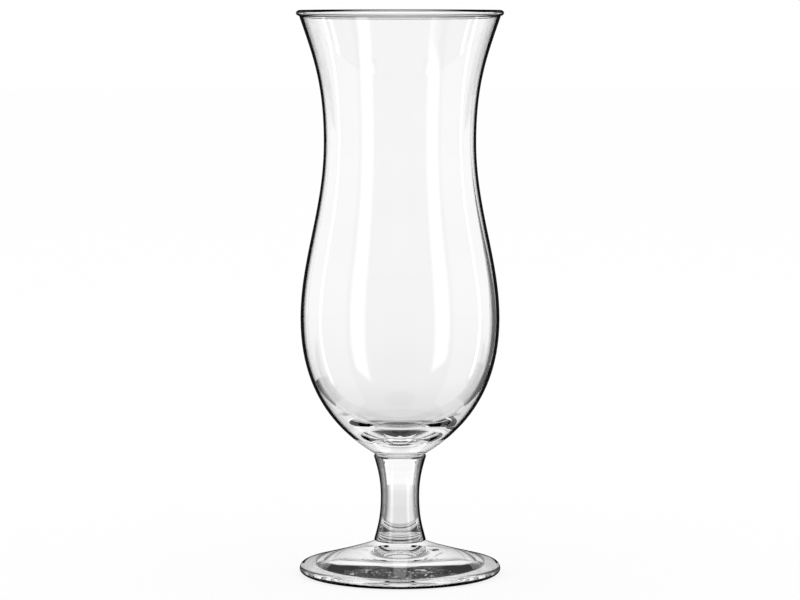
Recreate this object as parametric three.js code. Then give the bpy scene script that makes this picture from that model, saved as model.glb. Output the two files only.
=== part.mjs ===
import * as THREE from 'three';

// Tall curved cocktail glass: a blown bowl, a short solid stem and a pressed foot, fused hot.
// Millimetres, +Z up, standing on Z = 0, every piece turned about the Z axis.

const TURN_STEPS = 64;

// Heights, each but the first measured from the piece or line below it
const HEIGHT = 206.5; // table to the top of the rim
const FOOT_HEIGHT = 12.2; // table to the seam under the stem
const STEM_LENGTH = 31.6; // foot seam to bowl seam
const BASE_THICKNESS = 7.2; // solid glass under the bowl's inside floor
const BELLY_RISE = 50.2; // bowl seam to the widest line of the belly
const WAIST_RISE = 64.6; // belly to the narrowest line of the waist
const BEAD_HEIGHT = 2.2;

// Outside radii of the bowl
const BOWL_SEAM_R = 8.4;
const BELLY_R = 36.4;
const WAIST_R = 27.75;
const LIP_R = 36.6;
const BEAD_OVERHANG = 1.15; // how far the rim bead stands out from the lip

// Wall of the bowl, measured level
const BELLY_WALL = 2.5;
const WAIST_WALL = 1.9;
const LIP_WALL = 1.5;
const BEAD_INSET = 0.2; // how far the bead's inner side stands outside the lip's inner wall

// Reach of each curve's handles along the bowl's outline
const BASE_FLARE = 1.69; // widening per millimetre of height over the stem
const BASE_REACH = 7.8;
const BELLY_REACH_DOWN = 28.4;
const BELLY_REACH_UP = 22.0;
const WAIST_REACH_DOWN = 24.4;
const WAIST_REACH_UP = 21.8;
const LIP_REACH = 13.9;
const LIP_FLARE = 0.34; // widening per millimetre of height under the bead
const CAVITY_REACH_DOWN = 33.0;
const FLOOR_REACH = 15.0;

// Stem
const SHOULDER_OVERHANG = 1.15; // shoulder beyond the bowl seam
const SHOULDER_DROP = 0.6; // bowl seam to the widest line of the shoulder
const SHOULDER_TAPER = 0.3;
const SHOULDER_REACH = 4.8;
const NECK_RISE = 16.1; // foot seam to the narrowest line of the stem
const NECK_R = 7.08;
const NECK_REACH_UP = 6.5;
const NECK_REACH_DOWN = 7.7;
const HEEL_OVERHANG = 0.45; // heel beyond the foot seam
const HEEL_RISE = 0.5; // foot seam to the widest line of the heel
const HEEL_TAPER = 0.27;
const HEEL_REACH = 4.4;

// Foot
const FOOT_SEAM_R = 9.0;
const FOOT_R = 36.95;
const EDGE_RISE = 1.7; // table to the widest line of the edge
const BROW_RISE = 2.25; // widest line to where the sloping top begins
const BROW_INSET = 1.75; // sloping top's start, in from the widest line
const BROW_RUN = 3.6; // level run per millimetre of rise at the brow
const BROW_REACH = 6.4;
const SLOPE_TOP_RUN = 1.45; // level run per millimetre of fall beside the stem
const SLOPE_TOP_REACH = 2.2;
const RING_INSET = 2.65; // standing ring, in from the widest line
const RING_WIDTH = 3.7;
const HOLLOW_DEPTH = 6.3; // domed hollow inside the standing ring

// Levels and radii that follow from the sizes above
const FOOT_SEAM_Z = FOOT_HEIGHT;
const NECK_Z = FOOT_SEAM_Z + NECK_RISE;
const BOWL_SEAM_Z = FOOT_SEAM_Z + STEM_LENGTH;
const FLOOR_Z = BOWL_SEAM_Z + BASE_THICKNESS;
const BELLY_Z = BOWL_SEAM_Z + BELLY_RISE;
const WAIST_Z = BELLY_Z + WAIST_RISE;
const RIM_Z = HEIGHT;
const LIP_Z = RIM_Z - BEAD_HEIGHT;
const RIM_R = LIP_R + BEAD_OVERHANG;
const BROW_R = FOOT_R - BROW_INSET;
const BROW_Z = EDGE_RISE + BROW_RISE;
const RING_OUTER_R = FOOT_R - RING_INSET;
const RING_INNER_R = RING_OUTER_R - RING_WIDTH;

const at = (r, z) => new THREE.Vector2(r, z);
const beside = (point, dr, dz) => at(point.x + dr, point.y + dz);
const above = (point, dz) => beside(point, 0, dz);

/**
 * Points of a smooth profile curve.
 * @param {THREE.Vector2[]} points start, start handle, end handle, end
 * @param {number} steps number of straight pieces
 * @returns {THREE.Vector2[]} steps + 1 points, from start to end
 */
function curve(points, steps) {
  return new THREE.CubicBezierCurve(...points).getPoints(steps);
}

/**
 * Joins profile runs end to end and drops each repeated meeting point.
 * @param {...THREE.Vector2[]} runs profile runs in order
 * @returns {THREE.Vector2[]} one profile
 */
function joined(...runs) {
  const profile = [];
  for (const point of runs.flat()) {
    const last = profile.at(-1);
    if (!last || last.distanceTo(point) > 0) {
      profile.push(point);
    }
  }
  return profile;
}

/**
 * Turns a profile about the Z axis into one closed solid.
 * @param {string} name node name
 * @param {THREE.Vector2[]} profile radius and height, from the axis at the bottom to the axis at the top
 * @param {THREE.MeshStandardMaterial} material finish of the piece
 * @returns {THREE.Mesh} the named solid
 */
function turned(name, profile, material) {
  const geometry = new THREE.LatheGeometry(profile, TURN_STEPS);
  geometry.rotateX(Math.PI / 2);
  const mesh = new THREE.Mesh(geometry, material);
  mesh.name = name;
  return mesh;
}

/** Outside of the bowl, from the stem up to the underside of the rim bead. */
function bowlOutside() {
  const seam = at(BOWL_SEAM_R, BOWL_SEAM_Z);
  const belly = at(BELLY_R, BELLY_Z);
  const waist = at(WAIST_R, WAIST_Z);
  const lip = at(LIP_R, LIP_Z);
  const overStem = beside(seam, BASE_FLARE * BASE_REACH, BASE_REACH);
  const underLip = beside(lip, -LIP_FLARE * LIP_REACH, -LIP_REACH);
  return joined(
    curve([seam, overStem, above(belly, -BELLY_REACH_DOWN), belly], 9),
    curve([belly, above(belly, BELLY_REACH_UP), above(waist, -WAIST_REACH_DOWN), waist], 7),
    curve([waist, above(waist, WAIST_REACH_UP), underLip, lip], 6),
  );
}

/** Rounded bead over the rim, from the outside of the lip to its inside. */
function rimBead() {
  const halfHeight = BEAD_HEIGHT / 2;
  const lipOutside = at(LIP_R, LIP_Z);
  const lipInside = at(LIP_R - LIP_WALL, LIP_Z);
  const widest = at(RIM_R, LIP_Z + halfHeight);
  const inside = beside(lipInside, BEAD_INSET, halfHeight);
  const crown = at((widest.x + inside.x) / 2, RIM_Z);
  const swell = (widest.x - inside.x) / 4;
  const underBead = beside(lipOutside, BEAD_OVERHANG / 2, halfHeight / 8);
  return joined(
    curve([lipOutside, underBead, above(widest, -halfHeight / 2), widest], 2),
    curve([widest, above(widest, halfHeight / 2), beside(crown, swell, 0), crown], 3),
    curve([crown, beside(crown, -swell, 0), above(inside, halfHeight / 2), inside], 3),
    [lipInside],
  );
}

/** Inside of the bowl, from the lip down to the axis at the floor. */
function bowlInside() {
  const lip = at(LIP_R - LIP_WALL, LIP_Z);
  const waist = at(WAIST_R - WAIST_WALL, WAIST_Z);
  const belly = at(BELLY_R - BELLY_WALL, BELLY_Z);
  const floor = at(0, FLOOR_Z);
  const underLip = beside(lip, -LIP_FLARE * LIP_REACH, -LIP_REACH);
  return joined(
    curve([lip, underLip, above(waist, WAIST_REACH_UP), waist], 6),
    curve([waist, above(waist, -WAIST_REACH_DOWN), above(belly, BELLY_REACH_UP), belly], 7),
    curve([belly, above(belly, -CAVITY_REACH_DOWN), beside(floor, FLOOR_REACH, 0), floor], 9),
  );
}

/** Stem outline, from the foot seam up to the bowl seam. */
function stemOutside() {
  const footSeam = at(FOOT_SEAM_R, FOOT_SEAM_Z);
  const heel = beside(footSeam, HEEL_OVERHANG, HEEL_RISE);
  const neck = at(NECK_R, NECK_Z);
  const bowlSeam = at(BOWL_SEAM_R, BOWL_SEAM_Z);
  const shoulder = beside(bowlSeam, SHOULDER_OVERHANG, -SHOULDER_DROP);
  const heelCorner = beside(footSeam, HEEL_OVERHANG, 0);
  const shoulderCorner = beside(bowlSeam, SHOULDER_OVERHANG, 0);
  const overHeel = beside(heel, -HEEL_TAPER * HEEL_REACH, HEEL_REACH);
  const underShoulder = beside(shoulder, -SHOULDER_TAPER * SHOULDER_REACH, -SHOULDER_REACH);
  return joined(
    curve([footSeam, heelCorner, heelCorner, heel], 3),
    curve([heel, overHeel, above(neck, -NECK_REACH_DOWN), neck], 6),
    curve([neck, above(neck, NECK_REACH_UP), underShoulder, shoulder], 6),
    curve([shoulder, shoulderCorner, shoulderCorner, bowlSeam], 3),
  );
}

/** Foot outline, from the axis of its hollow underside up to the seam under the stem. */
function footOutside() {
  const hollow = at(0, HOLLOW_DEPTH);
  const ringInside = at(RING_INNER_R, 0);
  const ringOutside = at(RING_OUTER_R, 0);
  const edge = at(FOOT_R, EDGE_RISE);
  const brow = at(BROW_R, BROW_Z);
  const seam = at(FOOT_SEAM_R, FOOT_SEAM_Z);
  const hollowSide = at(RING_INNER_R * 0.8, HOLLOW_DEPTH / 2);
  const underEdge = beside(ringOutside, RING_INSET / 2, 0);
  const overEdge = above(edge, BROW_RISE / 2);
  const browRound = BROW_INSET * 0.7;
  const outsideBrow = beside(brow, browRound, -browRound / BROW_RUN);
  const insideBrow = beside(brow, -BROW_REACH, BROW_REACH / BROW_RUN);
  const besideStem = beside(seam, SLOPE_TOP_RUN * SLOPE_TOP_REACH, -SLOPE_TOP_REACH);
  return joined(
    curve([hollow, beside(hollow, RING_INNER_R / 2, 0), hollowSide, ringInside], 6),
    curve([ringOutside, underEdge, above(edge, -EDGE_RISE / 2), edge], 4),
    curve([edge, overEdge, outsideBrow, brow], 4),
    curve([brow, insideBrow, besideStem, seam], 8),
  );
}

const clearGlass = new THREE.MeshStandardMaterial({
  name: 'clear_glass',
  color: 0xf1f5f3,
  roughness: 0.03,
  metalness: 0,
  transparent: true,
  opacity: 0.35,
});

const underBowl = at(0, BOWL_SEAM_Z);
const underStem = at(0, FOOT_SEAM_Z);

const bowl = turned('bowl', joined([underBowl], bowlOutside(), rimBead(), bowlInside()), clearGlass);
const stem = turned('stem', joined([underStem], stemOutside(), [underBowl]), clearGlass);
const foot = turned('foot', joined(footOutside(), [underStem]), clearGlass);

const glass = new THREE.Group();
glass.name = 'cocktail_glass';
glass.add(bowl, stem, foot);

export default glass;
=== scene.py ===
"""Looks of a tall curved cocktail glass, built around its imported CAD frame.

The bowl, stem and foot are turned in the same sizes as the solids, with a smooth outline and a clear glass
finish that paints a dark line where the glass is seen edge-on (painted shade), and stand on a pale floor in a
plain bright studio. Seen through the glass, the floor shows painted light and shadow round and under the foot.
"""

from __future__ import annotations

import logging
import math
from dataclasses import dataclass
from enum import Enum

import bpy
from bpy.types import Material, Node, NodeSocket, NodeTree, Object
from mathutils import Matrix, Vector

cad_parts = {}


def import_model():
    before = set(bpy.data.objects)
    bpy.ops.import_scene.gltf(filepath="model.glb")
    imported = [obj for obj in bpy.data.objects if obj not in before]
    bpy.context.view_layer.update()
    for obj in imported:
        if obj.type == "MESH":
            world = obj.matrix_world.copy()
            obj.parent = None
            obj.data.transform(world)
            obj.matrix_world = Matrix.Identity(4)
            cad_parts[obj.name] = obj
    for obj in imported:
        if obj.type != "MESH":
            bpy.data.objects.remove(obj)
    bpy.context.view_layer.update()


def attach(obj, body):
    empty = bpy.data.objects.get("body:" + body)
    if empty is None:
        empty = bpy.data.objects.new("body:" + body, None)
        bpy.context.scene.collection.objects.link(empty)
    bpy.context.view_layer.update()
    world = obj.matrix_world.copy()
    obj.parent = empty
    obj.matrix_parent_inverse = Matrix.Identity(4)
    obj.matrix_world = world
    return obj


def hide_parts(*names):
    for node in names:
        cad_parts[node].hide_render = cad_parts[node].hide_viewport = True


LOG = logging.getLogger("cocktail_glass")

MM = 0.001
BODY = "root"

TURN_STEPS = 256
CURVE_STEPS = 26
CREASE = math.radians(35.0)
MERGE = 1e-7
ORIGIN = (0.0, 0.0, 0.0)
WHITE = (1.0, 1.0, 1.0, 1.0)
PANEL_STEPS = 24
LEAST_SOFT = 1e-3
SOLID_SURFACES = 2
MOST_SURFACES = 99

Pair = tuple[float, float]


class Side(Enum):
    """Which surface of a piece a face belongs to."""

    OUTSIDE = 0
    INSIDE = 1
    BEAD = 2
    EDGE = 3
    UNDERSIDE = 4
    SEAM = 5
    CROWN = 6


class Seen(Enum):
    """Rays that a studio object shows itself to."""

    REFLECTION = "glossy"
    THROUGH_GLASS = "transmission"


@dataclass(frozen=True)
class Knot:
    """One point of a turned outline, with its two curve handles.

    Attributes:
        r: radius in millimetres.
        z: height in millimetres.
        before: offset of the handle towards the knot before this one.
        after: offset of the handle towards the next knot.
    """

    r: float
    z: float
    before: Pair = (0.0, 0.0)
    after: Pair = (0.0, 0.0)


def deselect_all() -> None:
    """Leaves edit mode and clears the selection, CAD nodes included."""
    if bpy.context.object and bpy.context.object.mode != "OBJECT":
        bpy.ops.object.mode_set(mode="OBJECT")
    bpy.ops.object.select_all(action="DESELECT")


def show_to(item: Object, seen: Seen) -> None:
    """Limits which rays meet a studio object.

    Args:
        item: screen, card or ceiling.
        seen: the rays that may meet it.
    """
    item.visible_camera = item.visible_diffuse = item.visible_shadow = item.visible_volume_scatter = False
    item.visible_glossy = seen is Seen.REFLECTION
    item.visible_transmission = seen is Seen.THROUGH_GLASS


class NodeTable:
    """Short hand for placing and linking shader nodes in one tree."""

    def __init__(self, tree: NodeTree) -> None:
        """Clears the tree and keeps it."""
        self.tree = tree
        tree.nodes.clear()

    def add(self, kind: str, values: dict[str, object] | None = None, **settings: object) -> Node:
        """Adds a node.

        Args:
            kind: node type name.
            values: numbers and colours of its inputs, by name.
            **settings: node properties to set.

        Returns:
            The new node.
        """
        node = self.tree.nodes.new(kind)
        for key, value in settings.items():
            setattr(node, key, value)
        for name, value in (values or {}).items():
            node.inputs[name].default_value = value
        return node

    def link(self, source: NodeSocket, target: NodeSocket) -> None:
        """Links one socket to another."""
        self.tree.links.new(source, target)

    def math(self, operation: str, *values: NodeSocket | float) -> NodeSocket:
        """Adds a sum of one or two values.

        Args:
            operation: name of the Math node's operation.
            *values: sockets to link or numbers to set.

        Returns:
            The socket that holds the result.
        """
        node = self.add("ShaderNodeMath", operation=operation)
        for slot, value in zip(node.inputs, values):
            if isinstance(value, NodeSocket):
                self.link(value, slot)
            else:
                slot.default_value = value
        return node.outputs["Value"]

    def ramp(self, value: NodeSocket, start: Pair, end: Pair) -> NodeSocket:
        """Adds a smooth step between two points.

        Args:
            value: socket that drives the step.
            start: value at which the step begins, and the result there.
            end: value at which it ends, and the result there.

        Returns:
            The socket that holds the result.
        """
        points = dict(zip(("From Min", "To Min", "From Max", "To Max"), start + end))
        node = self.add("ShaderNodeMapRange", points, interpolation_type="SMOOTHSTEP")
        self.link(value, node.inputs["Value"])
        return node.outputs["Result"]

    def rise(self, value: NodeSocket, edge: Pair, level: float = 1.0) -> NodeSocket:
        """Adds a smooth step from 0 up to a level.

        Args:
            value: socket that drives the step.
            edge: values at which the step begins and ends.
            level: result beyond the step.

        Returns:
            The socket that holds the result.
        """
        return self.ramp(value, (edge[0], 0.0), (edge[1], level))

    def fall(self, value: NodeSocket, edge: Pair, level: float = 1.0) -> NodeSocket:
        """Adds a smooth step from a level down to 0, with the same arguments as rise."""
        return self.ramp(value, (edge[0], level), (edge[1], 0.0))

    def product(self, *values: NodeSocket | float) -> NodeSocket:
        """Multiplies sockets and numbers and returns the socket of the result."""
        result = values[0]
        for value in values[1:]:
            result = self.math("MULTIPLY", result, value)
        return result

    def rest(self, value: NodeSocket) -> NodeSocket:
        """Takes a share from 1 and returns what is left."""
        return self.math("SUBTRACT", 1.0, value)

    def blend(self, share: NodeSocket, first: NodeSocket, second: NodeSocket) -> NodeSocket:
        """Mixes two shaders, the second by that share, and returns the socket of the result."""
        node = self.add("ShaderNodeMixShader")
        for source, slot in zip((share, first, second), node.inputs):
            self.link(source, slot)
        return node.outputs["Shader"]

    def surface(self, shader: NodeSocket) -> None:
        """Links a shader to the material's output."""
        self.link(shader, self.add("ShaderNodeOutputMaterial").inputs["Surface"])


def new_material(name: str) -> tuple[Material, NodeTable]:
    """Makes a material of that name with an empty shader tree, and returns both."""
    made = bpy.data.materials.new(name)
    made.use_nodes = True
    return made, NodeTable(made.node_tree)


class ValueGroup:
    """Shared effect: a node group that works out one varying value from a few inputs."""

    NAME: str = ""
    INPUTS: dict[str, float] = {}
    OUTPUT: str = ""

    @classmethod
    def value(cls, table: NodeTable, given: Node) -> NodeSocket:
        """Adds the nodes of the effect and returns the socket of its value.

        Args:
            table: the group's tree.
            given: node that holds the inputs.
        """
        raise NotImplementedError

    @classmethod
    def group(cls) -> NodeTree:
        """Builds the group once and returns it."""
        if cls.NAME in bpy.data.node_groups:
            return bpy.data.node_groups[cls.NAME]
        tree = bpy.data.node_groups.new(cls.NAME, "ShaderNodeTree")
        table = NodeTable(tree)
        for name, number in cls.INPUTS.items():
            tree.interface.new_socket(name, in_out="INPUT", socket_type="NodeSocketFloat").default_value = number
        tree.interface.new_socket(cls.OUTPUT, in_out="OUTPUT", socket_type="NodeSocketFloat")
        found = cls.value(table, table.add("NodeGroupInput"))
        table.link(found, table.add("NodeGroupOutput").inputs[cls.OUTPUT])
        return tree


class MeltWaves(ValueGroup):
    """Faint waviness that hot glass keeps as it sets: slow waves round the wall and slower ones up it."""

    NAME = "melt_waves"
    INPUTS = {"Wave Size": 30.0, "Upright Stretch": 0.35}
    OUTPUT = "Height"

    @classmethod
    def value(cls, table: NodeTable, given: Node) -> NodeSocket:
        """Adds slow noise, drawn out upright."""
        squeeze = table.add("ShaderNodeCombineXYZ", {"X": 1.0, "Y": 1.0})
        scaled = table.add("ShaderNodeVectorMath", operation="MULTIPLY")
        noise = table.add("ShaderNodeTexNoise", {"Detail": 1.0, "Roughness": 0.4}, noise_dimensions="3D")
        table.link(given.outputs["Upright Stretch"], squeeze.inputs["Z"])
        table.link(table.add("ShaderNodeTexCoord").outputs["Object"], scaled.inputs[0])
        table.link(squeeze.outputs["Vector"], scaled.inputs[1])
        table.link(scaled.outputs["Vector"], noise.inputs["Vector"])
        table.link(given.outputs["Wave Size"], noise.inputs["Scale"])
        return noise.outputs["Fac"]


class TableWear(ValueGroup):
    """Fine rubbing where glass meets the table: rough only on the lowest band, broken up by scratches."""

    NAME = "table_wear"
    INPUTS = {"Worn Height": 0.0004, "Worn Roughness": 0.25, "Clean Roughness": 0.0}
    OUTPUT = "Roughness"

    @classmethod
    def value(cls, table: NodeTable, given: Node) -> NodeSocket:
        """Adds scratches on the lowest band and blends the two roughnesses by them."""
        place = table.add("ShaderNodeTexCoord").outputs["Object"]
        split = table.add("ShaderNodeSeparateXYZ")
        scratch = table.add("ShaderNodeTexNoise", {"Scale": 900.0, "Detail": 3.0}, noise_dimensions="3D")
        blend = table.add("ShaderNodeMix", data_type="FLOAT")
        table.link(place, split.inputs["Vector"])
        table.link(place, scratch.inputs["Vector"])
        low = table.math("LESS_THAN", split.outputs["Z"], given.outputs["Worn Height"])
        table.link(table.product(low, scratch.outputs["Fac"]), blend.inputs["Factor"])
        table.link(given.outputs["Clean Roughness"], blend.inputs["A"])
        table.link(given.outputs["Worn Roughness"], blend.inputs["B"])
        return blend.outputs["Result"]


@dataclass(frozen=True)
class GlassFinish:
    """Clear fire-polished glass, whose colour darkens to a painted dark line where it is seen edge-on: painted shade.

    Attributes:
        name: material name.
        ior: refractive index.
        wave_size: noise scale of the melt waves.
        wave_depth: depth of the melt waves in metres.
        painted_edge_start: facing value at which the painted dark edge line, painted shade, begins.
        painted_edge_full: facing value at which that painted line is full.
        painted_edge_level: how much of the light the painted edge line keeps.
    """

    name: str
    ior: float = 1.52
    wave_size: float = 30.0
    wave_depth: float = 0.00001
    painted_edge_start: float = 0.70
    painted_edge_full: float = 0.80
    painted_edge_level: float = 0.0

    def material(self) -> Material:
        """Builds the material once and returns it."""
        if self.name in bpy.data.materials:
            return bpy.data.materials[self.name]
        made, table = new_material(self.name)
        glass = table.add("ShaderNodeBsdfPrincipled", {"Metallic": 0.0, "Transmission Weight": 1.0, "IOR": self.ior})
        waves = table.add("ShaderNodeGroup", {"Wave Size": self.wave_size}, node_tree=MeltWaves.group())
        bump = table.add("ShaderNodeBump", {"Strength": 1.0, "Distance": self.wave_depth})
        wear = table.add("ShaderNodeGroup", node_tree=TableWear.group())
        # Painted shade: the Base Color darkens by how edge-on the surface is seen, to draw dark outlines.
        facing = table.add("ShaderNodeLayerWeight")
        edge = table.rise(facing.outputs["Facing"], (self.painted_edge_start, self.painted_edge_full))
        shade = (self.painted_edge_level, self.painted_edge_level, self.painted_edge_level, 1.0)
        painted_edge_colour = table.add("ShaderNodeMix", {"A": WHITE, "B": shade}, data_type="RGBA")
        table.link(edge, painted_edge_colour.inputs["Factor"])
        table.link(painted_edge_colour.outputs["Result"], glass.inputs["Base Color"])
        table.link(waves.outputs["Height"], bump.inputs["Height"])
        table.link(bump.outputs["Normal"], glass.inputs["Normal"])
        table.link(wear.outputs["Roughness"], glass.inputs["Roughness"])
        table.surface(glass.outputs["BSDF"])
        return made


@dataclass(frozen=True)
class SeamFinish:
    """Face where two pieces are fused: the glass runs on, so there is nothing to see."""

    name: str = "fused_seam"

    def material(self) -> Material:
        """Builds the material once and returns it."""
        if self.name in bpy.data.materials:
            return bpy.data.materials[self.name]
        made, table = new_material(self.name)
        clear = table.add("ShaderNodeBsdfPrincipled", {"Alpha": 0.0})
        table.surface(clear.outputs["BSDF"])
        return made


class TurnedPiece:
    """A piece of glass turned about the Z axis from one outline.

    Attributes:
        node: CAD node that the piece stands for, and the piece's own name.
    """

    node: str = ""

    def outline(self) -> list[Knot]:
        """Returns the outline from its start to its end."""
        raise NotImplementedError

    def finishes(self) -> dict[Side, Material]:
        """Returns the material of each side that the piece has."""
        raise NotImplementedError

    def side_of(self, centre: Vector, normal: Vector) -> Side:
        """Tells the side that a face belongs to.

        Args:
            centre: middle of the face.
            normal: outward direction of the face.

        Returns:
            The side of the glass.
        """
        raise NotImplementedError

    def draw_outline(self) -> Object:
        """Draws the outline as a curve in the XZ plane and makes it a mesh.

        Returns:
            The active object, a chain of edges.
        """
        deselect_all()
        bpy.ops.curve.primitive_bezier_curve_add(location=ORIGIN)
        drawn = bpy.context.object
        drawn.data.resolution_u = CURVE_STEPS
        knots = self.outline()
        points = drawn.data.splines[0].bezier_points
        points.add(len(knots) - len(points))
        for point, knot in zip(points, knots):
            point.handle_left_type = point.handle_right_type = "FREE"
            point.co = (knot.r * MM, 0.0, knot.z * MM)
            point.handle_left = point.co + Vector((knot.before[0] * MM, 0.0, knot.before[1] * MM))
            point.handle_right = point.co + Vector((knot.after[0] * MM, 0.0, knot.after[1] * MM))
        bpy.ops.object.convert(target="MESH")
        return bpy.context.object

    def build(self) -> Object:
        """Spins the outline into a closed shell and returns the piece."""
        piece = self.draw_outline()
        piece.name = piece.data.name = self.node + "_glass"
        bpy.ops.object.mode_set(mode="EDIT")
        bpy.ops.mesh.select_all(action="SELECT")
        bpy.ops.mesh.remove_doubles(threshold=MERGE)
        bpy.ops.mesh.spin(steps=TURN_STEPS, angle=2.0 * math.pi, center=ORIGIN, axis=(0.0, 0.0, 1.0))
        bpy.ops.mesh.select_all(action="SELECT")
        bpy.ops.mesh.remove_doubles(threshold=MERGE)
        bpy.ops.mesh.select_all(action="DESELECT")
        bpy.ops.mesh.select_mode(type="EDGE")
        bpy.ops.mesh.select_non_manifold(extend=False, use_wire=False, use_multi_face=False, use_non_contiguous=False,
                                         use_verts=False)
        bpy.ops.mesh.edge_face_add()
        bpy.ops.mesh.select_all(action="SELECT")
        bpy.ops.mesh.normals_make_consistent(inside=False)
        bpy.ops.object.mode_set(mode="OBJECT")
        bpy.ops.object.shade_smooth_by_angle(angle=CREASE)
        return piece

    def dress(self, piece: Object) -> None:
        """Gives each side of the piece its finish.

        Args:
            piece: the built shell.
        """
        slots: dict[Side, int] = {}
        for side, material in self.finishes().items():
            slots[side] = len(piece.data.materials)
            piece.data.materials.append(material)
        for face in piece.data.polygons:
            face.material_index = slots[self.side_of(face.center, face.normal)]

    def place(self) -> Object:
        """Builds and dresses the piece, and seats it on the CAD body."""
        piece = self.build()
        self.dress(piece)
        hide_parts(self.node)
        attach(piece, BODY)
        return piece


@dataclass
class Bowl(TurnedPiece):
    """Blown bowl: beaded rim, flared lip, waist, belly and thick rounded base. Sizes in millimetres."""

    node: str = "bowl"
    height: float = 206.5
    seam_z: float = 43.8
    floor_z: float = 51.0
    base_top_z: float = 50.0
    belly_z: float = 94.0
    waist_z: float = 158.6
    bead_height: float = 2.2
    seam_r: float = 8.4
    belly_r: float = 36.4
    waist_r: float = 27.75
    lip_r: float = 36.6
    bead_overhang: float = 1.15
    belly_wall: float = 2.5
    waist_wall: float = 1.9
    lip_wall: float = 1.5
    bead_inset: float = 0.2
    base_flare: float = 1.69
    base_reach: float = 7.8
    belly_reach_down: float = 28.4
    belly_reach_up: float = 22.0
    waist_reach_down: float = 24.4
    waist_reach_up: float = 21.8
    lip_reach: float = 13.9
    lip_flare: float = 0.34
    cavity_reach_down: float = 33.0
    floor_reach: float = 15.0
    lip_round: Pair = (0.05, 0.3)
    crown_lean: float = 0.5
    under_lean: float = -0.4

    def outline(self) -> list[Knot]:
        """Returns the outline from the stem seam, up over the rim and down to the inside floor."""
        return self.outside() + self.bead() + self.inside()

    def outside(self) -> list[Knot]:
        """Returns the knots from the stem seam to the underside of the bead."""
        lip_z = self.height - self.bead_height
        half = self.bead_height / 2
        return [
            Knot(self.seam_r, self.seam_z, after=(self.base_flare * self.base_reach, self.base_reach)),
            Knot(self.belly_r, self.belly_z, (0, -self.belly_reach_down), (0, self.belly_reach_up)),
            Knot(self.waist_r, self.waist_z, (0, -self.waist_reach_down), (0, self.waist_reach_up)),
            Knot(self.lip_r, lip_z, (-self.lip_flare * self.lip_reach, -self.lip_reach),
                 (self.bead_overhang / 2, half / 8)),
        ]

    def bead(self) -> list[Knot]:
        """Returns the knots of the rounded bead over the rim."""
        half = self.bead_height / 2
        widest = self.lip_r + self.bead_overhang
        inside = self.lip_r - self.lip_wall + self.bead_inset
        swell = (widest - inside) / 4
        middle_z = self.height - half
        return [
            Knot(widest, middle_z, (0, -half / 2), (0, half / 2)),
            Knot((widest + inside) / 2, self.height, (swell, 0), (-swell, 0)),
            Knot(inside, middle_z, (0, half / 2), (0, -half / 2)),
        ]

    def inside(self) -> list[Knot]:
        """Returns the knots from the lip's inside down to the floor on the axis."""
        lip_z = self.height - self.bead_height
        under_lip = (-self.lip_flare * self.lip_reach, -self.lip_reach)
        return [
            Knot(self.lip_r - self.lip_wall, lip_z, self.lip_round, under_lip),
            Knot(self.waist_r - self.waist_wall, self.waist_z, (0, self.waist_reach_up), (0, -self.waist_reach_down)),
            Knot(self.belly_r - self.belly_wall, self.belly_z, (0, self.belly_reach_up), (0, -self.cavity_reach_down)),
            Knot(0.0, self.floor_z, (self.floor_reach, 0)),
        ]

    def finishes(self) -> dict[Side, Material]:
        """Returns the finish of the two walls, the base, the bead, its crown, its underside and the seam."""
        # Painted shade: each glass finish paints a dark line where it is seen edge-on; grey on the inner wall, pale on
        # the base, black on the outside and the bead.
        return {
            Side.OUTSIDE: GlassFinish("bowl_outside_glass", painted_edge_start=0.65, painted_edge_full=0.76).material(),
            Side.INSIDE: GlassFinish("bowl_inside_glass", painted_edge_start=0.8, painted_edge_full=0.92, painted_edge_level=0.45).material(),
            Side.UNDERSIDE: GlassFinish("bowl_base_glass", painted_edge_level=0.6).material(),
            Side.BEAD: GlassFinish("rim_bead_glass", ior=1.2, painted_edge_start=0.55, painted_edge_full=0.85).material(),
            Side.CROWN: GlassFinish("rim_crown_glass", ior=1.2, painted_edge_start=0.25, painted_edge_full=0.5).material(),
            Side.EDGE: GlassFinish("rim_under_glass", ior=1.2, painted_edge_start=0.25, painted_edge_full=0.8).material(),
            Side.SEAM: SeamFinish().material(),
        }

    def side_of(self, centre: Vector, normal: Vector) -> Side:
        """Tells the seam and the bead by their level, and the other sides and the parts of the bead by the normal."""
        if centre.z < self.seam_z * MM + MERGE:
            return Side.SEAM
        if centre.z > (self.height - self.bead_height) * MM:
            if normal.z > self.crown_lean:
                return Side.CROWN
            return Side.EDGE if normal.z < self.under_lean else Side.BEAD
        if normal.x * centre.x + normal.y * centre.y < 0.0:
            return Side.INSIDE
        return Side.OUTSIDE if centre.z > self.base_top_z * MM else Side.UNDERSIDE


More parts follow.
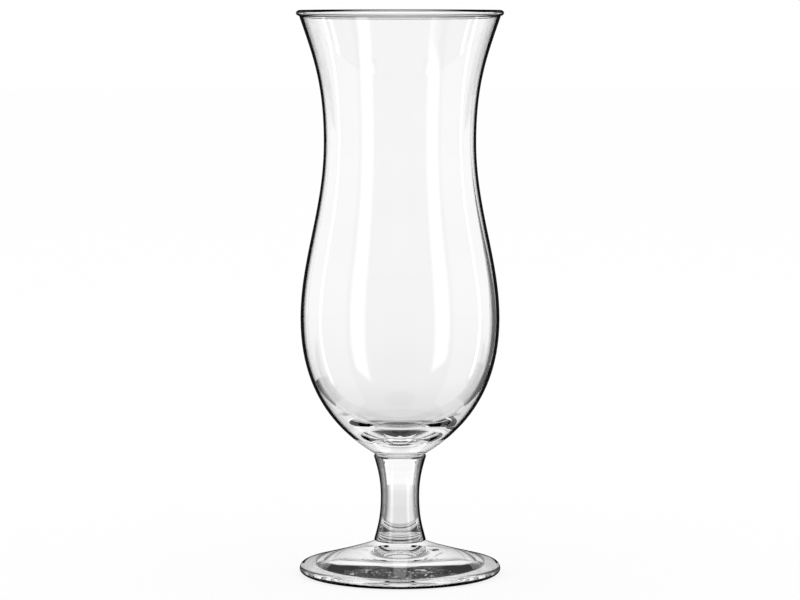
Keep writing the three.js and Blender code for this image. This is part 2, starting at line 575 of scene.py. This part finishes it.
@dataclass
class Stem(TurnedPiece):
    """Short solid stem drawn in at its neck. Sizes in millimetres."""

    node: str = "stem"
    foot_seam_z: float = 12.2
    bowl_seam_z: float = 43.8
    foot_seam_r: float = 9.0
    bowl_seam_r: float = 8.4
    shoulder_overhang: float = 1.15
    shoulder_drop: float = 0.6
    shoulder_taper: float = 0.3
    shoulder_reach: float = 4.8
    neck_z: float = 28.3
    neck_r: float = 7.08
    neck_reach_up: float = 6.5
    neck_reach_down: float = 7.7
    heel_overhang: float = 0.45
    heel_rise: float = 0.5
    heel_taper: float = 0.27
    heel_reach: float = 4.4

    def outline(self) -> list[Knot]:
        """Returns the outline from the foot seam up to the bowl seam."""
        return [
            Knot(self.foot_seam_r, self.foot_seam_z, after=(self.heel_overhang, 0)),
            Knot(self.foot_seam_r + self.heel_overhang, self.foot_seam_z + self.heel_rise, (0, -self.heel_rise),
                 (-self.heel_taper * self.heel_reach, self.heel_reach)),
            Knot(self.neck_r, self.neck_z, (0, -self.neck_reach_down), (0, self.neck_reach_up)),
            Knot(self.bowl_seam_r + self.shoulder_overhang, self.bowl_seam_z - self.shoulder_drop,
                 (-self.shoulder_taper * self.shoulder_reach, -self.shoulder_reach), (0, self.shoulder_drop)),
            Knot(self.bowl_seam_r, self.bowl_seam_z, (self.shoulder_overhang, 0)),
        ]

    def finishes(self) -> dict[Side, Material]:
        """Returns the finish of the outside, of the rounded shoulder and heel, and of the two seams."""
        # Painted shade: the outside paints a dark line where it is seen edge-on, and the rounded shoulder and heel are
        # painted dark except where seen face-on.
        return {
            Side.OUTSIDE: GlassFinish("stem_glass", painted_edge_start=0.46, painted_edge_full=0.56).material(),
            Side.EDGE: GlassFinish("stem_end_glass", painted_edge_start=0.0, painted_edge_full=0.15).material(),
            Side.SEAM: SeamFinish().material(),
        }

    def side_of(self, centre: Vector, normal: Vector) -> Side:
        """Tells the two flat seams, and the rounded ends beside them, from the outside by their level."""
        low, high = self.foot_seam_z * MM, self.bowl_seam_z * MM
        if not low + MERGE < centre.z < high - MERGE:
            return Side.SEAM
        heel, shoulder = low + self.heel_rise * MM, high - self.shoulder_drop * MM
        return Side.OUTSIDE if heel < centre.z < shoulder else Side.EDGE


@dataclass
class Foot(TurnedPiece):
    """Pressed foot: sloping top, rounded edge, standing ring and domed hollow. Sizes in millimetres."""

    node: str = "foot"
    seam_z: float = 12.2
    seam_r: float = 9.0
    edge_r: float = 36.95
    edge_rise: float = 1.7
    brow_rise: float = 2.25
    brow_inset: float = 1.75
    brow_run: float = 3.6
    brow_reach: float = 6.4
    slope_top_run: float = 1.45
    slope_top_reach: float = 2.2
    ring_inset: float = 2.65
    ring_width: float = 3.7
    hollow_depth: float = 6.3
    brow_share: float = 0.7
    hollow_share: float = 0.2

    def outline(self) -> list[Knot]:
        """Returns the outline from the axis of the hollow, round the edge and up to the stem seam."""
        ring_out = self.edge_r - self.ring_inset
        ring_in = ring_out - self.ring_width
        brow_round = self.brow_inset * self.brow_share
        return [
            Knot(0.0, self.hollow_depth, after=(ring_in / 2, 0)),
            Knot(ring_in, 0.0, (-ring_in * self.hollow_share, self.hollow_depth / 2), (self.ring_width / 3, 0)),
            Knot(ring_out, 0.0, (-self.ring_width / 3, 0), (self.ring_inset / 2, 0)),
            Knot(self.edge_r, self.edge_rise, (0, -self.edge_rise / 2), (0, self.brow_rise / 2)),
            Knot(self.edge_r - self.brow_inset, self.edge_rise + self.brow_rise,
                 (brow_round, -brow_round / self.brow_run), (-self.brow_reach, self.brow_reach / self.brow_run)),
            Knot(self.seam_r, self.seam_z, (self.slope_top_run * self.slope_top_reach, -self.slope_top_reach)),
        ]

    def finishes(self) -> dict[Side, Material]:
        """Returns the finish of the sloping top, the edge, the underside and the seam."""
        # Painted shade: the top paints a thin dark line where it is seen edge-on, the rounded edge is painted almost
        # black, and the underside has no painted line.
        return {
            Side.OUTSIDE: GlassFinish("foot_top_glass", painted_edge_start=0.88, painted_edge_full=0.96).material(),
            Side.EDGE: GlassFinish("foot_edge_glass", ior=1.15, painted_edge_start=0.05, painted_edge_full=0.25).material(),
            Side.UNDERSIDE: GlassFinish("foot_under_glass", painted_edge_level=1.0).material(),
            Side.SEAM: SeamFinish().material(),
        }

    def side_of(self, centre: Vector, normal: Vector) -> Side:
        """Tells the sides of the foot by their level and their distance from the axis."""
        if centre.z > self.seam_z * MM - MERGE:
            return Side.SEAM
        if math.hypot(centre.x, centre.y) < (self.edge_r - self.ring_inset) * MM and normal.z < 0.0:
            return Side.UNDERSIDE
        return Side.OUTSIDE if centre.z > self.edge_rise * MM else Side.EDGE


@dataclass(frozen=True)
class FloorFinish:
    """Pale matt floor. Through the glass it shows painted light and shadow in place of the light that the screens and
    the glass would leave on it.

    Attributes:
        name: material name.
        colour: grey of the matt floor.
        plain_white: share of plain white as the camera sees it, so that shadows stay faint.
        near: radius and brightness near the glass.
        far: radius and brightness farther off.
        brink: radius where the floor meets the back screen, and how much brighter it is there.
        middle: degrees from straight behind to the middle of the back screen's light.
        back_edge: degrees from that middle, between which the light ends.
        side_edge: degrees from it, between which the light of the side screens begins.
        side: brightness before the side screens.
        narrow_edge: radii between which the painted dark sectors end, as seen through the bowl.
        stem_shade: depth of the painted dark sectors, as seen through the stem.
        band_edge: radii between which the band of floor begins that is painted dark through the bowl.
        close_edge: radii between which that band ends.
        band_depth: how dark that painted shade is.
        spot_reach: radii between which the painted shade on the floor under the middle of the foot ends.
        spot_depth: how dark that is.
        plunge: facing values between which a view from above no longer finds the band dark.
        skim: facing values between which a flat view no longer finds it dark.
        look_down: facing values between which a view from above sees the floor under the foot evenly lit.
        half_edge: degrees from straight behind, between which the painted shade on the floor before the glass begins.
        half_reach: radii between which it ends.
        half_depth: how dark it is.
        ring_inner: radii between which the painted shadow round the foot begins.
        ring_outer: radii between which it ends.
        ring: depth of that painted shadow.
        under_edge: radii between which the floor under the foot ends.
        under: brightness of the painted light on that floor, behind the axis.
        even: brightness of that painted light from above.
        front_edge: degrees from straight behind, between which its front half begins.
        front_lead: radii between which that edge moves back, and by how many degrees.
        shade: brightness of the painted shadow on the front half.
        spot_edge: radii between which the painted bright spot under the stem ends.
        spot: brightness of that painted spot.
        spark_inner: radii between which the painted sparks of light at the very front begin.
        spark_side: degrees from straight behind, between which they begin.
        spark_scale: noise scale of the sparks.
        spark_detail: finer layers of that noise.
        spark_bend: how far it is bent.
        spark_step: noise values between which a spark begins.
        spark: brightness of the sparks.
    """

    name: str = "floor_painted_light"
    colour: float = 0.98
    plain_white: float = 0.8
    near: Pair = (0.12, 0.805)
    far: Pair = (0.5, 0.912)
    brink: Pair = (1.15, 0.05)
    middle: float = -2.5
    back_edge: Pair = (20.5, 36.0)
    side_edge: Pair = (58.0, 68.0)
    side: float = 0.9
    narrow_edge: Pair = (0.26, 0.34)
    stem_shade: float = 0.8
    band_edge: Pair = (0.046, 0.050)
    close_edge: Pair = (0.066, 0.072)
    band_depth: float = 0.95
    spot_reach: Pair = (0.023, 0.027)
    spot_depth: float = 0.97
    plunge: Pair = (0.33, 0.40)
    skim: Pair = (0.56, 0.66)
    look_down: Pair = (0.45, 0.58)
    half_edge: Pair = (80.0, 100.0)
    half_reach: Pair = (0.09, 0.11)
    half_depth: float = 0.97
    ring_inner: Pair = (0.036, 0.038)
    ring_outer: Pair = (0.044, 0.049)
    ring: float = 0.3
    under_edge: Pair = (0.034, 0.036)
    under: float = 1.15
    even: float = 0.97
    front_edge: Pair = (94.0, 106.0)
    front_lead: tuple[float, float, float] = (0.022, 0.029, 18.0)
    shade: float = 0.05
    spot_edge: Pair = (0.006, 0.009)
    spot: float = 0.7
    spark_inner: Pair = (0.012, 0.017)
    spark_side: Pair = (128.0, 146.0)
    spark_scale: float = 420.0
    spark_detail: float = 2.0
    spark_bend: float = 1.2
    spark_step: Pair = (0.60, 0.66)
    spark: float = 0.8

    def material(self) -> Material:
        """Builds the material and returns it."""
        made, table = new_material(self.name)
        matt = table.add("ShaderNodeBsdfDiffuse", {"Color": (self.colour, self.colour, self.colour, 1.0)})
        white = table.add("ShaderNodeEmission", {"Color": WHITE})
        # Painted light and shadow: for rays through the glass the floor glows with this pattern instead of being lit.
        lit = table.add("ShaderNodeEmission", {"Color": WHITE})
        table.link(PaintedFloorLight.read(self, table).glow(), lit.inputs["Strength"])
        path = table.add("ShaderNodeLightPath").outputs
        share = table.product(path["Is Camera Ray"], self.plain_white)
        seen = table.blend(share, matt.outputs["BSDF"], white.outputs["Emission"])
        table.surface(table.blend(path["Is Transmission Ray"], seen, lit.outputs["Emission"]))
        return made


@dataclass(frozen=True)
class PaintedFloorLight:
    """Painted light and shadow on one point of the floor, worked out in the floor's shader for the ray that shows it.

    Attributes:
        look: sizes and levels of the light.
        table: the shader tree.
        place: place on the floor.
        r: distance from the axis.
        angle: direction from the axis, in radians from straight behind.
        facing: how flat the view is.
        flat: 1 for a flat view, 0 for one from above.
        bowl: 1 for light that comes through the bowl.
        straight: 1 for light that comes straight through the stem or the foot.
        direct: 0 for light that has been mirrored in the glass.
    """

    look: FloorFinish
    table: NodeTable
    place: NodeSocket
    r: NodeSocket
    angle: NodeSocket
    facing: NodeSocket
    flat: NodeSocket
    bowl: NodeSocket
    straight: NodeSocket
    direct: NodeSocket

    @classmethod
    def read(cls, look: FloorFinish, table: NodeTable) -> PaintedFloorLight:
        """Adds the nodes that tell the point and the ray.

        Args:
            look: sizes and levels of the light.
            table: the shader tree.

        Returns:
            The light, with its values ready.
        """
        place = table.add("ShaderNodeTexCoord").outputs["Object"]
        split = table.add("ShaderNodeSeparateXYZ")
        reach = table.add("ShaderNodeVectorMath", operation="LENGTH")
        table.link(place, split.inputs["Vector"])
        table.link(place, reach.inputs[0])
        facing = table.add("ShaderNodeLayerWeight").outputs["Facing"]
        path = table.add("ShaderNodeLightPath").outputs
        crossed, met = path["Transmission Depth"], path["Ray Depth"]
        return cls(
            look, table, place,
            r=reach.outputs["Value"],
            angle=table.math("ARCTAN2", split.outputs["X"], split.outputs["Y"]),
            facing=facing,
            flat=table.rise(facing, look.look_down),
            bowl=table.math("GREATER_THAN", crossed, SOLID_SURFACES + 0.5),
            straight=table.math("LESS_THAN", met, SOLID_SURFACES + 0.5),
            direct=table.math("LESS_THAN", table.math("SUBTRACT", met, crossed), 0.5),
        )

    def glow(self) -> NodeSocket:
        """Adds the whole painted light and shadow and returns the socket of its brightness."""
        look, table = self.look, self.table
        outside = table.rise(self.r, look.under_edge)
        around = table.product(outside, self.open_floor())
        below = table.product(table.rest(outside), self.painted_under_foot())
        # Painted shadow: a dark ring round the foot's edge.
        ring = table.product(table.rise(self.r, look.ring_inner, look.ring), table.fall(self.r, look.ring_outer))
        light = table.product(table.rest(ring), table.math("ADD", around, below))
        # Painted shade: the dark band behind the base and the dark floor before the glass, seen through the bowl.
        dark = table.math("MAXIMUM", self.painted_base_shade(), self.painted_front_shade())
        return table.product(light, table.rest(table.product(dark, self.bowl)))

    def beyond(self, middle: float, edge: Pair, level: float = 1.0) -> NodeSocket:
        """Adds a step by the angle from a middle line.

        Args:
            middle: degrees of the middle line from straight behind.
            edge: degrees from the middle line between which the step rises.
            level: result beyond the step.

        Returns:
            The socket that holds 0 near the middle line and the level beyond the edge.
        """
        off = self.table.math("ABSOLUTE", self.table.math("SUBTRACT", self.angle, math.radians(middle)))
        return self.table.rise(off, (math.radians(edge[0]), math.radians(edge[1])), level)

    def painted_base_shade(self) -> NodeSocket:
        """Returns the painted shadow of the bowl's thick base on the floor near the glass, and the painted shade under
        the middle of the foot.
        """
        look, table = self.look, self.table
        band = table.product(table.fall(self.r, look.close_edge), table.rise(self.r, look.band_edge))
        steep = table.rise(self.facing, look.plunge, look.band_depth)
        depth = table.product(steep, table.fall(self.facing, look.skim))
        middle = table.fall(self.r, look.spot_reach, look.spot_depth)
        return table.math("MAXIMUM", middle, table.product(band, depth))

    def painted_front_shade(self) -> NodeSocket:
        """Returns the painted shade on the floor close before the glass, which the base mirrors and no screen lights.
        """
        look, table = self.look, self.table
        front = self.beyond(0.0, look.half_edge, look.half_depth)
        return table.product(front, table.fall(self.r, look.half_reach), table.rest(self.direct))

    def open_floor(self) -> NodeSocket:
        """Returns the painted light of the screens on the floor around the glass, with painted dark sectors beside it.
        """
        look, table = self.look, self.table
        off = self.beyond(look.middle, look.back_edge)
        sides = self.beyond(look.middle, look.side_edge, look.side)
        near = table.product(table.fall(self.r, look.narrow_edge), self.bowl)
        narrow = table.math("MAXIMUM", near, table.product(self.straight, look.stem_shade))
        shade = table.product(narrow, table.math("SUBTRACT", off, sides))
        back = table.ramp(self.r, (look.far[0], 0.0), look.brink)
        level = table.math("ADD", table.ramp(self.r, look.near, look.far), back)
        return table.product(level, table.rest(shade))

    def painted_under_foot(self) -> NodeSocket:
        """Returns the painted light under the foot: lit from behind, painted shadow in front, with painted caustic
        light where the glass would gather it.
        """
        look, table = self.look, self.table
        first, last = (math.radians(value) for value in look.front_edge)
        start, end, lead = look.front_lead
        ahead = table.rise(self.r, (start, end), math.radians(lead))
        turn = table.math("ADD", table.math("ABSOLUTE", self.angle), ahead)
        halves = table.ramp(turn, (first, look.under), (last, look.shade))
        from_above = table.product(self.direct, table.rest(self.flat))
        halves = table.product(halves, table.rest(from_above))
        lit = table.math("ADD", halves, table.product(from_above, look.even))
        spot = table.fall(self.r, look.spot_edge, look.spot)
        return table.math("MAXIMUM", lit, table.math("MAXIMUM", spot, self.sparks()))

    def sparks(self) -> NodeSocket:
        """Returns the painted light of the sparks at the very front of the floor under the foot."""
        look, table = self.look, self.table
        kind = {"Scale": look.spark_scale, "Detail": look.spark_detail, "Distortion": look.spark_bend}
        noise = table.add("ShaderNodeTexNoise", kind, noise_dimensions="3D")
        table.link(self.place, noise.inputs["Vector"])
        lines = table.rise(noise.outputs["Fac"], look.spark_step, look.spark)
        front = self.beyond(0.0, look.spark_side)
        return table.product(lines, self.flat, table.rise(self.r, look.spark_inner), front)


@dataclass(frozen=True)
class Panel:
    """Upright sheet of the studio, seen from the glass.

    Attributes:
        name: object name.
        start: first edge, in degrees from straight behind the glass, positive to the right.
        end: second edge, in the same degrees.
        low: height of its sloping edge over the floor, in metres, mostly the lower one.
        high: height of its level edge.
        level: brightness, where 1 is white.
        seen: rays that meet the panel.
        reach: distance from the glass.
        soft: share of the width over which its light fades at each side.
        soft_ends: share of the height over which it fades at top and bottom.
        drop: how much lower the sloping edge lies at the second side than at the first.
        crossed: fewest and most glass surfaces that light has crossed before it meets the panel.
        met: fewest and most surfaces that it has crossed or been mirrored by.
    """

    name: str
    start: float
    end: float
    low: float
    high: float
    level: float
    seen: Seen = Seen.THROUGH_GLASS
    reach: float = 1.0
    soft: float = 0.0
    soft_ends: float = 0.0
    drop: float = 0.0
    crossed: tuple[int, int] = (0, MOST_SURFACES)
    met: tuple[int, int] = (0, MOST_SURFACES)

    def meets(self, table: NodeTable) -> NodeSocket:
        """Adds to the panel's shader a test, and returns its socket: 1 for light that meets the panel, 0 for other."""
        path = table.add("ShaderNodeLightPath").outputs
        tests = []
        for count, (fewest, most) in (("Transmission Depth", self.crossed), ("Ray Depth", self.met)):
            tests.append(table.math("GREATER_THAN", path[count], fewest - 0.5))
            tests.append(table.math("LESS_THAN", path[count], most + 0.5))
        return table.product(*tests)

    def faded(self, table: NodeTable) -> NodeSocket:
        """Adds to the panel's shader a brightness that fades towards the edges, and returns its socket."""
        split = table.add("ShaderNodeSeparateXYZ")
        table.link(table.add("ShaderNodeTexCoord").outputs["UV"], split.inputs["Vector"])
        light = self.level
        for axis, soft in (("X", self.soft), ("Y", self.soft_ends)):
            off = table.math("ABSOLUTE", table.math("SUBTRACT", split.outputs[axis], 0.5))
            light = table.product(table.rise(off, (0.5, 0.5 - max(soft, LEAST_SOFT))), light)
        return light

    def material(self) -> Material:
        """Makes a glow that lets other light pass, and returns it."""
        made, table = new_material(self.name + "_white")
        glow = table.add("ShaderNodeEmission", {"Strength": self.level})
        clear = table.add("ShaderNodeBsdfTransparent")
        table.surface(table.blend(self.meets(table), clear.outputs["BSDF"], glow.outputs["Emission"]))
        if self.soft or self.soft_ends:
            table.link(self.faded(table), glow.inputs["Strength"])
        return made

    def build(self, rig: Object) -> None:
        """Bends a plane round the glass and hangs it on the stand.

        Args:
            rig: stand that carries the panel.
        """
        deselect_all()
        bpy.ops.mesh.primitive_grid_add(x_subdivisions=PANEL_STEPS, y_subdivisions=2, size=1.0, location=ORIGIN)
        panel = bpy.context.object
        panel.name = self.name
        for vertex in panel.data.vertices:
            across = vertex.co.x + 0.5
            turn = math.radians(self.start + (self.end - self.start) * across)
            low = self.low - self.drop * across
            height = low + (self.high - low) * (vertex.co.y + 0.5)
            vertex.co = (self.reach * math.sin(turn), self.reach * math.cos(turn), height)
        panel.data.materials.append(self.material())
        show_to(panel, self.seen)
        panel.parent = rig


@dataclass
class Studio:
    """Bright plain studio: white floor and screens, soft lamps at the sides, and the camera.

    Attributes:
        camera_back: level distance from the glass's axis to the camera, in metres.
        camera_height: height of the camera over the floor.
        camera_pitch: downward tilt in radians.
        lens: focal length in millimetres.
        sensor: width of the sensor in millimetres.
        ambient: brightness of the world for matt surfaces.
        dark: brightness of the unlit studio in reflections.
        floor_radius: radius of the floor.
        ceiling: brightness of the ceiling through the glass.
        ceiling_height: height of the ceiling.
        ceiling_radius: its radius.
        lamp_height: height of the lamp over the glass.
        lamp_size: its width.
        lamp_power: its power in watts.
        bounces: most turns that light may take inside the thick glass.
    """

    camera_back: float = 1.2
    camera_height: float = 0.2137
    camera_pitch: float = 0.0938
    lens: float = 148.3
    sensor: float = 36.0
    ambient: float = 0.98
    dark: float = 0.02
    floor_radius: float = 6.0
    ceiling: float = 0.85
    ceiling_height: float = 1.3
    ceiling_radius: float = 1.1
    lamp_height: float = 1.6
    lamp_size: float = 1.2
    lamp_power: float = 1.2
    bounces: int = 32

    def place_camera(self) -> Object:
        """Places the camera at the photograph's viewing angle and returns it."""
        deselect_all()
        bpy.ops.object.camera_add(location=(0.0, -self.camera_back, self.camera_height),
                                  rotation=(math.pi / 2 - self.camera_pitch, 0.0, 0.0))
        camera = bpy.context.object
        camera.data.lens = self.lens
        camera.data.sensor_width = self.sensor
        bpy.context.scene.camera = camera
        return camera

    def place_rig(self, camera: Object) -> Object:
        """Places the stand that carries screens and lamps and keeps facing the camera.

        Args:
            camera: the camera that the stand faces.

        Returns:
            The stand, an empty at the glass's axis.
        """
        deselect_all()
        bpy.ops.object.empty_add(location=ORIGIN)
        rig = bpy.context.object
        rig.name = "studio_stand"
        turn = rig.constraints.new("LOCKED_TRACK")
        turn.target = camera
        turn.track_axis = "TRACK_NEGATIVE_Y"
        turn.lock_axis = "LOCK_Z"
        return rig

    def place_floor(self, rig: Object) -> None:
        """Lays the pale matt floor, which keeps the glass's shadow.

        Args:
            rig: stand that turns the floor with the screens.
        """
        deselect_all()
        bpy.ops.mesh.primitive_circle_add(vertices=96, radius=self.floor_radius, fill_type="NGON", location=ORIGIN)
        floor = bpy.context.object
        floor.name = "floor"
        floor.data.materials.append(FloorFinish().material())
        floor.visible_glossy = False
        floor.parent = rig

    def place_panels(self, rig: Object) -> None:
        """Hangs the screens that show through the glass and the lamps that it mirrors.

        Args:
            rig: stand that carries them.
        """
        mirrored = Seen.REFLECTION
        plain, once, bent = (0, SOLID_SURFACES), (3, 3), (3, 4)
        bowl, base, deep = (3, MOST_SURFACES), (5, MOST_SURFACES), (7, MOST_SURFACES)
        panels = [
            Panel("back_screen", -75.0, 75.0, -0.4, 0.29, 1.02, reach=1.1, crossed=plain),
            Panel("bowl_screen", -75.0, 75.0, -0.4, 0.29, 0.97, reach=1.12, crossed=bowl, met=bent),
            Panel("middle_screen", -60.0, 60.0, 0.29, 0.62, 0.95, reach=1.1, crossed=plain, met=bent),
            Panel("left_high_screen", 0.0, -22.0, 0.374, 1.6, 0.95, reach=1.1, drop=-0.25, crossed=plain),
            Panel("right_high_screen", 0.0, 22.0, 0.374, 1.6, 0.95, reach=1.1, drop=-0.25, crossed=plain),
            Panel("upper_screen", -50.0, 90.0, 0.29, 0.95, 0.9, reach=1.1, crossed=plain, met=deep),
            Panel("bowl_surround", 40.0, 320.0, -1.3, 1.6, 0.85, reach=1.16, crossed=bowl, met=base),
            Panel("near_surround", 40.0, 320.0, -1.3, 1.6, 0.85, reach=1.2, crossed=plain, met=once),
            Panel("mouth_surround", 119.0, 241.0, -0.3, 1.6, 0.85, mirrored, reach=1.1, met=once),
            Panel("left_screen", -180.0, -90.0, -0.7, 0.9, 0.8, reach=1.1, soft_ends=0.4,
                  crossed=plain, met=base),
            Panel("right_screen", 75.0, 180.0, -0.7, 0.9, 0.8, reach=1.1, soft_ends=0.4,
                  crossed=plain, met=base),
            Panel("left_card", -62.0, -37.0, -0.4, 0.35, 0.2, met=plain),
            Panel("left_grey_card", -37.0, -30.0, -0.4, 0.35, 0.5, met=plain),
            Panel("right_card", 30.0, 60.0, -0.4, 0.35, 0.18, met=plain),
            Panel("right_flag", 62.0, 80.0, 0.152, 0.068, 0.0, reach=0.06, drop=0.055, crossed=plain, met=once),
            Panel("right_low_flag", 53.0, 95.0, 0.027, 0.068, 0.0, reach=0.06, crossed=plain, met=once),
            Panel("left_low_flag", -95.0, -53.0, 0.027, 0.058, 0.0, reach=0.06, crossed=plain, met=once),
            Panel("left_fill", -119.0, -40.0, -1.3, 0.6, 0.8, mirrored, reach=1.05, soft=0.08),
            Panel("right_fill", 47.0, 119.0, -1.3, 0.6, 0.8, mirrored, reach=1.05, soft=0.08),
            Panel("front_fill", 143.0, 217.0, 0.3, 1.4, 1.0, mirrored, reach=1.05, soft=0.08, soft_ends=0.45,
                  met=(0, 1)),
            Panel("left_softbox", -119.0, -143.0, -0.45, 0.75, 3.6, mirrored, soft=0.3, soft_ends=0.12, drop=0.4),
            Panel("right_softbox", 119.0, 143.0, -0.35, 0.75, 3.6, mirrored, soft=0.3, soft_ends=0.12, drop=0.3),
            Panel("left_strip", -81.0, -72.0, -0.6, 0.75, 3.6, mirrored, soft=0.35, soft_ends=0.12),
            Panel("right_strip", 72.0, 81.0, -0.5, 0.75, 3.6, mirrored, soft=0.35, soft_ends=0.12),
        ]
        for panel in panels:
            panel.build(rig)

    def place_ceiling(self, rig: Object) -> None:
        """Hangs the pale ceiling that shows in the thickest glass.

        Args:
            rig: stand that carries it.
        """
        deselect_all()
        bpy.ops.mesh.primitive_circle_add(vertices=64, radius=self.ceiling_radius, fill_type="NGON",
                                          location=(0.0, 0.0, self.ceiling_height))
        ceiling = bpy.context.object
        ceiling.name = "ceiling"
        made, table = new_material("ceiling_white")
        glow = table.add("ShaderNodeEmission", {"Strength": self.ceiling})
        table.surface(glow.outputs["Emission"])
        ceiling.data.materials.append(made)
        show_to(ceiling, Seen.THROUGH_GLASS)
        ceiling.parent = rig

    def place_top_lamp(self) -> None:
        """Hangs one broad lamp over the glass, for the soft shadow on the floor."""
        deselect_all()
        bpy.ops.object.light_add(type="AREA", location=(0.0, 0.0, self.lamp_height))
        lamp = bpy.context.object
        lamp.name = "top_lamp"
        lamp.data.shape = "DISK"
        lamp.data.size = self.lamp_size
        lamp.data.energy = self.lamp_power
        lamp.visible_camera = False
        lamp.visible_glossy = False
        lamp.visible_transmission = False

    def light_world(self) -> None:
        """Makes the world white to the camera, evenly bright to matt surfaces and dark in the glass."""
        world = bpy.data.worlds.new("studio")
        bpy.context.scene.world = world
        world.use_nodes = True
        table = NodeTable(world.node_tree)
        out = table.add("ShaderNodeOutputWorld")
        back = table.add("ShaderNodeBackground", {"Color": WHITE})
        path = table.add("ShaderNodeLightPath")
        matt = table.add("ShaderNodeMix", {"A": self.dark, "B": self.ambient}, data_type="FLOAT")
        seen = table.add("ShaderNodeMix", {"B": 1.0}, data_type="FLOAT")
        table.link(path.outputs["Is Diffuse Ray"], matt.inputs["Factor"])
        table.link(path.outputs["Is Camera Ray"], seen.inputs["Factor"])
        table.link(matt.outputs["Result"], seen.inputs["A"])
        table.link(seen.outputs["Result"], back.inputs["Strength"])
        table.link(back.outputs["Background"], out.inputs["Surface"])

    def allow_bounces(self) -> None:
        """Lets light run on inside the thick glass."""
        cycles = bpy.context.scene.cycles
        cycles.max_bounces = self.bounces
        cycles.glossy_bounces = self.bounces
        cycles.transmission_bounces = self.bounces
        cycles.transparent_max_bounces = self.bounces

    def build(self) -> None:
        """Sets up camera, floor, screens, lamps and world."""
        camera = self.place_camera()
        rig = self.place_rig(camera)
        self.place_floor(rig)
        self.place_panels(rig)
        self.place_ceiling(rig)
        self.place_top_lamp()
        self.light_world()
        self.allow_bounces()
        bpy.context.scene.view_settings.view_transform = "Standard"


def main() -> None:
    """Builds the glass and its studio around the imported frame."""
    logging.basicConfig(level=logging.INFO, format="%(message)s")
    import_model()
    for piece in (Bowl(), Stem(), Foot()):
        made = piece.place()
        LOG.info("%s: %d faces", made.name, len(made.data.polygons))
    Studio().build()


if __name__ == "__main__":
    main()
